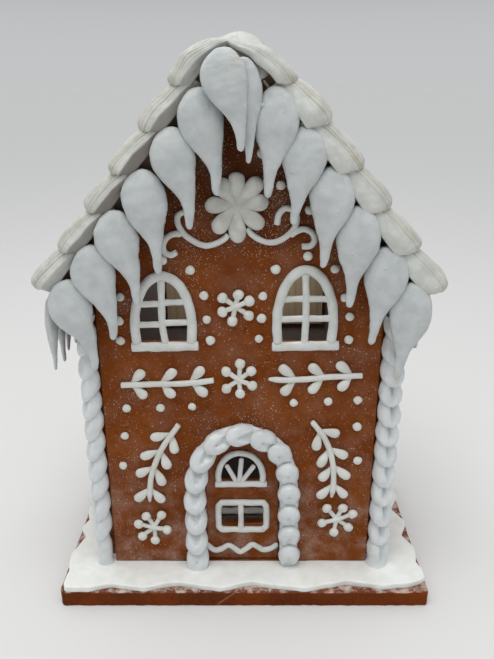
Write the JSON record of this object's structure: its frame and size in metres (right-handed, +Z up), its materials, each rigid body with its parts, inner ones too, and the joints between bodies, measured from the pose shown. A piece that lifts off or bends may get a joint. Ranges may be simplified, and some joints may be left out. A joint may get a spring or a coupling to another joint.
{
  "type": "gingerbread house",
  "caption": "Tall gingerbread house of brown dough plates on its own board, with a steep roof edged in white leaves and icicles, plaited corner columns and white dough ornaments.",
  "frame": {"origin": "middle of the board's underside, which is the bottom centre of the whole", "axes": "+Z up, -Y out of the house's front, +X to the right of someone who looks at the front"},
  "size_m": [0.2, 0.115, 0.2899],
  "materials": {
    "brown_dough": "baked brown dough, matt and slightly rough, with scattered glitter",
    "board": "brown painted board with worn edges and a scratch",
    "snow_icing": "white icing poured on the board, satin",
    "white_dough": "hand-rolled white dough with a soft varnished shine",
    "cream_dough": "hand-rolled cream dough, satin, yellower along ridges",
    "tan_panel": "plain tan panel"
  },
  "bodies": {
    "root": {"back_panel": "tan_panel", "board": "board", "branch_left": "cream_dough", "branch_right": "cream_dough", "column_back_left": "white_dough", "column_back_right": "white_dough", "column_front_left": "white_dough", "column_front_right": "white_dough", "door": "brown_dough", "door_arch": "white_dough", "door_wave": "white_dough", "door_window": "white_dough", "eave_icicles_left": "white_dough", "eave_icicles_right": "white_dough", "fanlight": "white_dough", "flower": "cream_dough", "icicle_left_1": "white_dough", "icicle_left_2": "white_dough", "icicle_left_3": "white_dough", "icicle_left_4": "white_dough", "icicle_left_5": "white_dough", "icicle_left_6": "white_dough", "icicle_peak_back": "white_dough", "icicle_peak_front": "white_dough", "icicle_right_1": "white_dough", "icicle_right_2": "white_dough", "icicle_right_3": "white_dough", "icicle_right_4": "white_dough", "icicle_right_5": "white_dough", "icicle_right_6": "white_dough", "leaf_left_1": "cream_dough", "leaf_left_2": "cream_dough", "leaf_left_3": "cream_dough", "leaf_left_4": "cream_dough", "leaf_left_5": "cream_dough", "leaf_left_6": "cream_dough", "leaf_right_1": "cream_dough", "leaf_right_2": "cream_dough", "leaf_right_3": "cream_dough", "leaf_right_4": "cream_dough", "leaf_right_5": "cream_dough", "leaf_right_6": "cream_dough", "ridge_and_back_chain": "cream_dough", "roof_left": "brown_dough", "roof_right": "brown_dough", "snow_sheet": "snow_icing", "snowflake_left": "cream_dough", "snowflake_middle": "cream_dough", "snowflake_right": "cream_dough", "snowflake_top": "cream_dough", "sprig_left": "cream_dough", "sprig_right": "cream_dough", "vine_left": "white_dough", "vine_right": "white_dough", "wall_back": "brown_dough", "wall_front": "brown_dough", "wall_left": "brown_dough", "wall_right": "brown_dough", "window_left": "white_dough", "window_right": "white_dough"}
  },
  "joints": []
}
